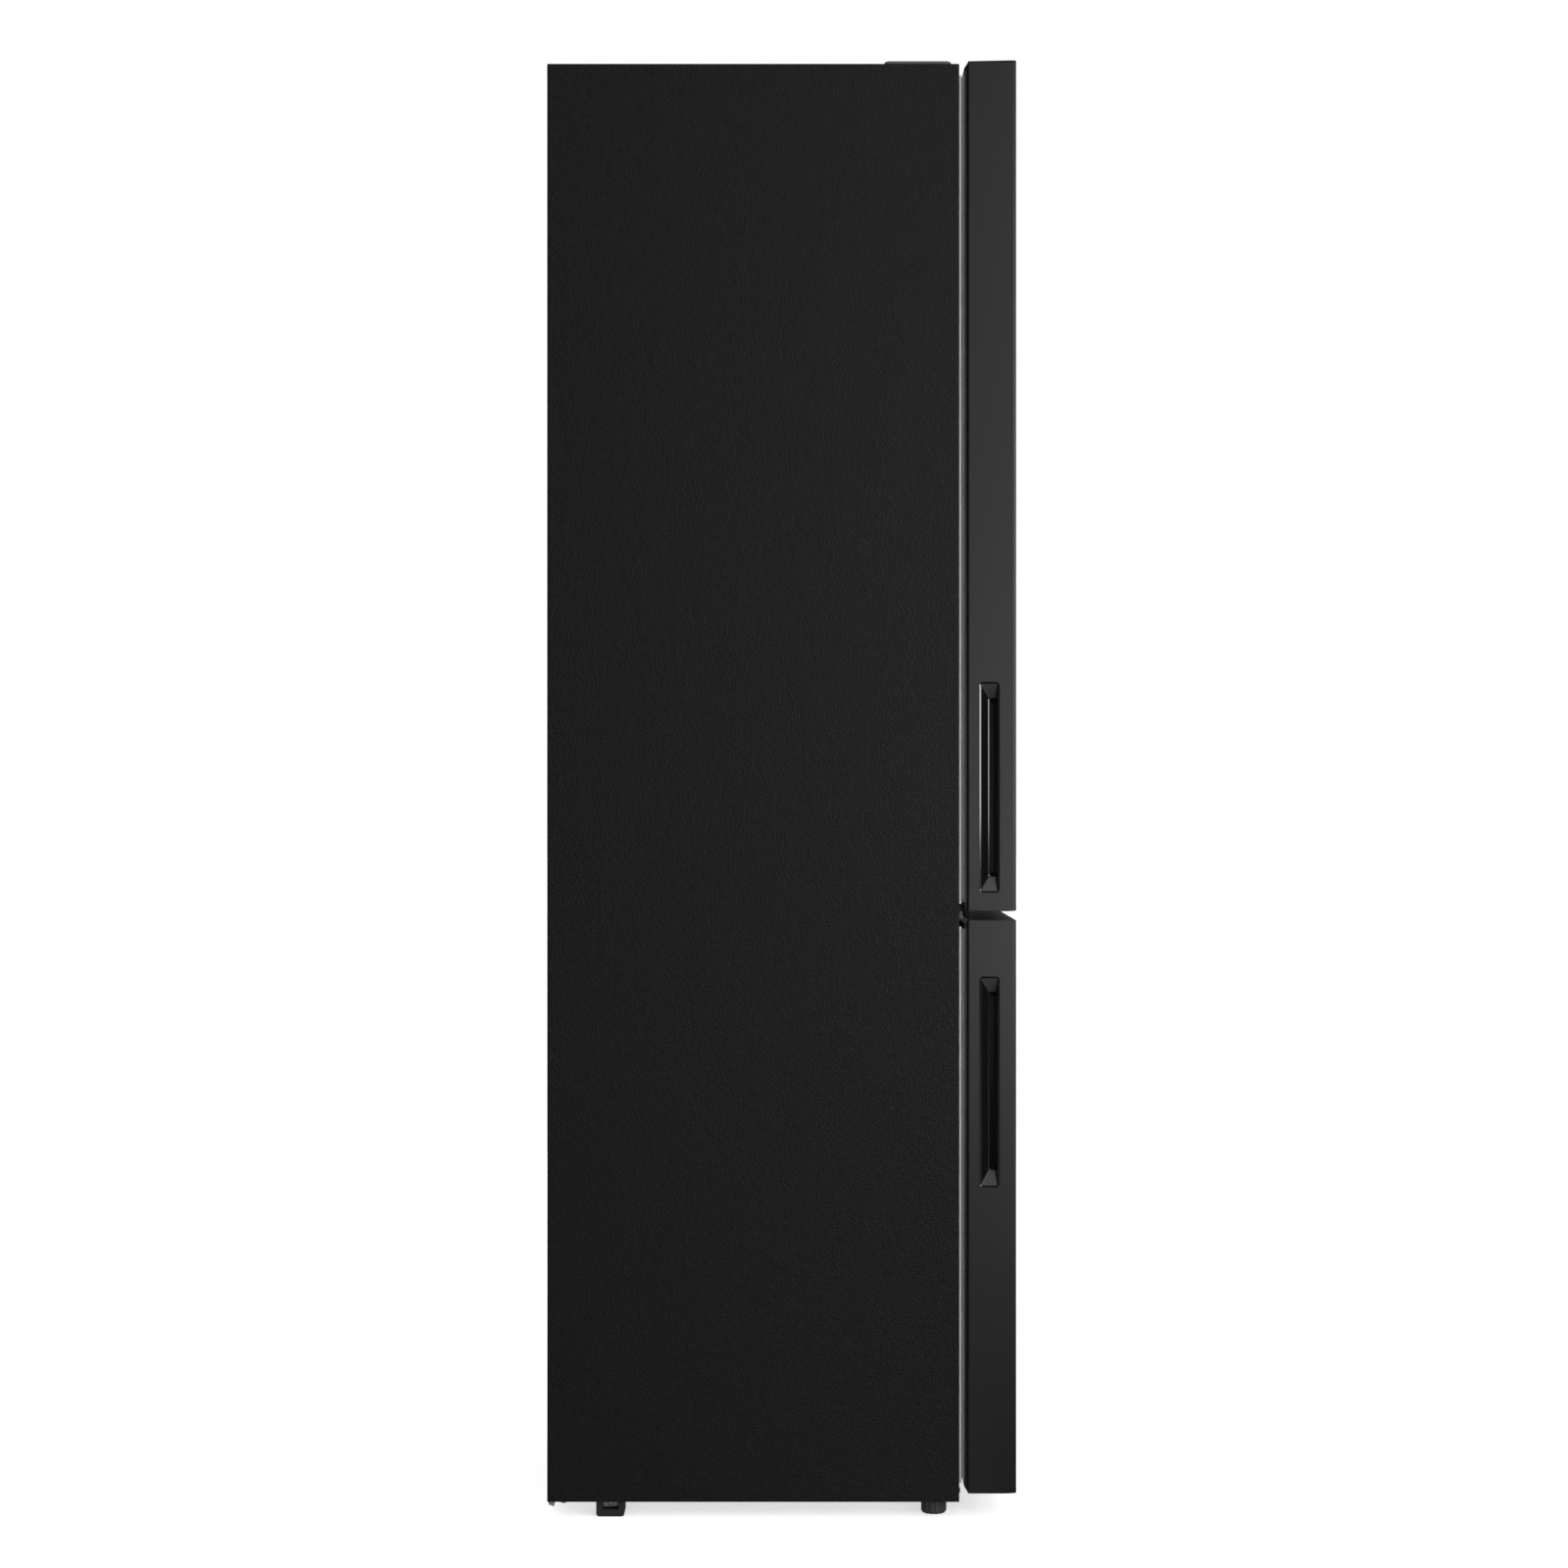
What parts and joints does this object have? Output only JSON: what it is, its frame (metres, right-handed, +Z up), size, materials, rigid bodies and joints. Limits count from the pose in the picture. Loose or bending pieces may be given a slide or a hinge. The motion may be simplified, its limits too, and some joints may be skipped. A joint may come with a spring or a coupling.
{
  "type": "refrigerator",
  "caption": "Tall free-standing refrigerator with a freezer below: black cabinet, hinged doors with side grips, glass shelves, drawers, door bins and levelling feet.",
  "frame": {"origin": "centre of the footprint on the floor, under the middle of width and depth", "axes": "+Z up, front of the doors faces -Y, hinge side is +X, grip side is -X"},
  "size_m": [0.595, 0.645, 2.01],
  "materials": {
    "case_black": "fine grained black enamel on steel sheet",
    "door_black": "smooth satin black enamel on steel sheet",
    "rear_grey": "dark grey coated steel sheet",
    "zinc_steel": "bare zinc-coated steel",
    "hinge_steel": "black coated steel plate",
    "foam": "rigid foam",
    "liner_white": "white thermoformed plastic",
    "lamp": "milky lamp lens",
    "knob_grey": "grey plastic",
    "shelf_glass": "toughened clear glass",
    "trim_silver": "satin aluminium",
    "clear_plastic": "clear plastic with a faint blue tint",
    "coil_aluminium": "bare aluminium",
    "fan_white": "pale plastic",
    "dark_plastic": "black moulded plastic",
    "compressor_black": "black enamelled steel",
    "mount_rubber": "black rubber",
    "copper": "bare copper tube",
    "foot_black": "black moulded plastic",
    "cover_grey": "dark grey moulded plastic",
    "cap_black": "gloss black moulded plastic",
    "grip_gloss": "gloss black moulded plastic",
    "seal_grey": "grey soft seal"
  },
  "bodies": {
    "cabinet": {"air_duct": "liner_white", "back_panel": "rear_grey", "base_plate": "zinc_steel", "bay_panel": "zinc_steel", "bottom_hinge": "hinge_steel", "centre_rail": "case_black", "compressor": "compressor_black", "compressor_cover": "dark_plastic", "compressor_mounts": "mount_rubber", "control_box": "liner_white", "core_insulation": "foam", "crisper_cover": "shelf_glass", "crisper_left": "clear_plastic", "crisper_right": "clear_plastic", "evaporation_pan": "dark_plastic", "evaporator": "coil_aluminium", "evaporator_cover": "liner_white", "fan_motor": "dark_plastic", "freezer_drawer_1": "clear_plastic", "freezer_drawer_2": "clear_plastic", "freezer_drawer_3": "clear_plastic", "freezer_liner": "liner_white", "freezer_shelves": "shelf_glass", "fridge_liner": "liner_white", "fridge_shelves": "shelf_glass", "front_base_rail": "case_black", "hinge_blanks": "foot_black", "hinge_covers": "cover_grey", "lamp_lens": "lamp", "middle_hinge": "hinge_steel", "rear_feet": "dark_plastic", "refrigerant_tubes": "copper", "screws": "zinc_steel", "shelf_trims": "trim_silver", "side_insulation_left": "foam", "side_insulation_right": "foam", "side_panel_left": "case_black", "side_panel_right": "case_black", "terminal_box": "dark_plastic", "top_hinge": "hinge_steel", "top_panel": "case_black"},
    "fridge_door": {"fridge_door_caps": "cap_black", "fridge_door_grip": "grip_gloss", "fridge_door_insulation": "foam", "fridge_door_liner": "liner_white", "fridge_door_seal": "seal_grey", "fridge_door_skin": "door_black"},
    "freezer_door": {"freezer_door_caps": "cap_black", "freezer_door_grip": "grip_gloss", "freezer_door_insulation": "foam", "freezer_door_liner": "liner_white", "freezer_door_seal": "seal_grey", "freezer_door_skin": "door_black"},
    "door_bin_1": {"door_bin_1": "clear_plastic"},
    "door_bin_2": {"door_bin_2": "clear_plastic"},
    "door_bin_3": {"door_bin_3": "clear_plastic"},
    "front_foot_left": {"front_foot_left": "foot_black"},
    "front_foot_right": {"front_foot_right": "foot_black"},
    "fan_rotor": {"fan_rotor": "fan_white"},
    "temperature_knob": {"temperature_knob": "knob_grey"}
  },
  "joints": [
    {"name": "fridge_door_hinge", "type": "hinge", "parent": "cabinet", "child": "fridge_door", "pos_m": [0.2815, -0.284, 0.8335], "axis": [0, 0, 1], "range_deg": [0, 120]},
    {"name": "freezer_door_hinge", "type": "hinge", "parent": "cabinet", "child": "freezer_door", "pos_m": [0.2815, -0.284, 0.0335], "axis": [0, 0, 1], "range_deg": [0, 120]},
    {"name": "door_bin_1_lift", "type": "slide", "parent": "fridge_door", "child": "door_bin_1", "axis": [0, 0, 1], "range_m": [0, 0.03]},
    {"name": "door_bin_2_lift", "type": "slide", "parent": "fridge_door", "child": "door_bin_2", "axis": [0, 0, 1], "range_m": [0, 0.03]},
    {"name": "door_bin_3_lift", "type": "slide", "parent": "fridge_door", "child": "door_bin_3", "axis": [0, 0, 1], "range_m": [0, 0.03]},
    {"name": "front_foot_left_turn", "type": "hinge", "parent": "cabinet", "child": "front_foot_left", "pos_m": [-0.2595, -0.2105, 0], "axis": [0, 0, 1], "continuous": true},
    {"name": "front_foot_right_turn", "type": "hinge", "parent": "cabinet", "child": "front_foot_right", "pos_m": [0.2595, -0.2105, 0], "axis": [0, 0, 1], "continuous": true},
    {"name": "fan_spin", "type": "hinge", "parent": "cabinet", "child": "fan_rotor", "pos_m": [0, 0.1965, 0.648], "axis": [0, 1, 0], "continuous": true},
    {"name": "temperature_knob_turn", "type": "hinge", "parent": "cabinet", "child": "temperature_knob", "pos_m": [-0.075, -0.086, 1.923], "axis": [0, 0, 1], "range_deg": [-120, 120]}
  ]
}
